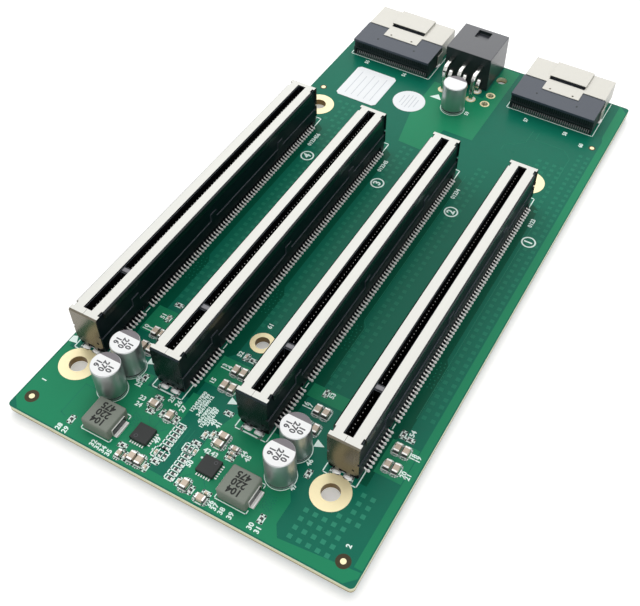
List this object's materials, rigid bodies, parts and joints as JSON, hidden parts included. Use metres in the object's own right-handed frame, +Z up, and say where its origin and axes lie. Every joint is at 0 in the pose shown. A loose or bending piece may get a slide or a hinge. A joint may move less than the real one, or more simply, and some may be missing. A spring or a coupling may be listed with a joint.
{
  "type": "pcie to slimsas adapter",
  "caption": "Adapter board with a row of shielded expansion-card slots, two shielded cable connectors and a power header, fixed down by plated mounting holes.",
  "frame": {"origin": "middle of the four mounting holes, on the underside of the board", "axes": "+X from slot 4 to slot 1, +Y along the slots toward the cable connectors and the power header, +Z up out of the board's component side"},
  "size_m": [0.08, 0.1585, 0.0142],
  "materials": {
    "board": "green solder mask over copper, satin",
    "hole_plating": "gold-plated copper, satin",
    "printed_marks": "white epoxy ink",
    "slot_plastic": "black moulded plastic, fine matte",
    "shroud_steel": "bright satin sheet",
    "contact_metal": "tinned, soldered",
    "connector_plastic": "grey-black moulded plastic, matte",
    "shell_steel": "plain satin sheet",
    "header_plastic": "grey-black moulded plastic, matte",
    "pin_metal": "bright tinned wire",
    "can_aluminium": "drawn can, bare",
    "inductor_moulding": "pressed metal powder, grey-olive, matte",
    "chip_package": "moulded chip package, matte",
    "ceramic_body": "fired tan ceramic with tinned ends",
    "resistor_body": "black glazed chip with tinned ends",
    "label_paper": "plain white sticker"
  },
  "bodies": {
    "root": {"circuit_board": "board", "slot_1_housing": "slot_plastic", "slot_1_shroud": "shroud_steel", "slot_1_contacts_left": "contact_metal", "slot_1_contacts_right": "contact_metal", "slot_2_housing": "slot_plastic", "slot_2_shroud": "shroud_steel", "slot_2_contacts_left": "contact_metal", "slot_2_contacts_right": "contact_metal", "slot_3_housing": "slot_plastic", "slot_3_shroud": "shroud_steel", "slot_3_contacts_left": "contact_metal", "slot_3_contacts_right": "contact_metal", "slot_4_housing": "slot_plastic", "slot_4_shroud": "shroud_steel", "slot_4_contacts_left": "contact_metal", "slot_4_contacts_right": "contact_metal", "left_connector_housing": "connector_plastic", "left_connector_shell": "shell_steel", "left_connector_contacts": "contact_metal", "right_connector_housing": "connector_plastic", "right_connector_shell": "shell_steel", "right_connector_contacts": "contact_metal", "power_header_housing": "header_plastic", "power_header_pins": "pin_metal", "left_front_capacitor": "can_aluminium", "left_rear_capacitor": "can_aluminium", "right_front_capacitor": "can_aluminium", "right_rear_capacitor": "can_aluminium", "header_capacitor": "can_aluminium", "left_inductor_body": "inductor_moulding", "left_inductor_terminals": "contact_metal", "left_regulator_chip": "chip_package", "right_inductor_body": "inductor_moulding", "right_inductor_terminals": "contact_metal", "right_regulator_chip": "chip_package", "ceramic_capacitors": "ceramic_body", "tiny_ceramic_capacitors": "ceramic_body", "chip_resistors": "resistor_body", "round_label": "label_paper", "square_label": "label_paper"}
  },
  "joints": []
}
